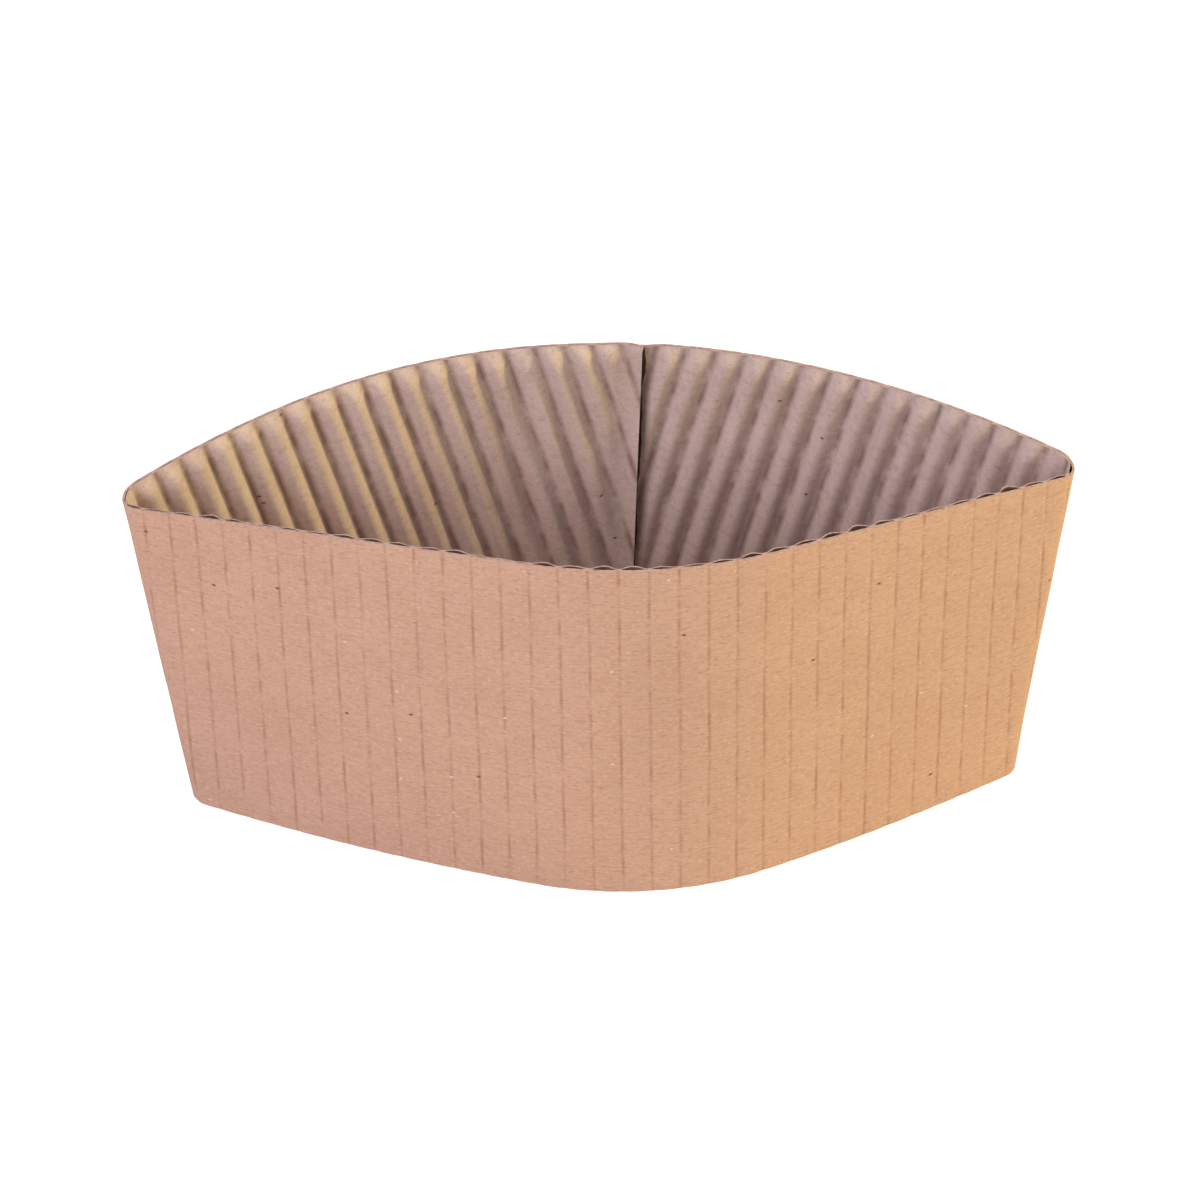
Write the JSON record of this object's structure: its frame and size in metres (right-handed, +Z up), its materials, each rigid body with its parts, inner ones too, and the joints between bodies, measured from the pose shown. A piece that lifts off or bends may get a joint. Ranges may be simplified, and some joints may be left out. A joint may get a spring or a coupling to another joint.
{
  "type": "coffee cup sleeve",
  "caption": "Tapered sleeve of single-face corrugated kraft board, folded at two sides and lapped at the back, that slips over a hot paper cup to insulate the hand.",
  "frame": {"origin": "middle of the bounding box at its bottom, on the plane that the bottom edge stands on", "axes": "+Z up; +X towards the right fold, along the line between the two folds; +Y towards the lapped back panel, so the plain front panel faces -Y"},
  "size_m": [0.113, 0.0466, 0.0502],
  "materials": {
    "kraft_board": "uncoated brown kraft, matte, with fine fibres and a faint line at each glue line of the flutes"
  },
  "bodies": {
    "root": {"sleeve_board": "kraft_board"}
  },
  "joints": []
}
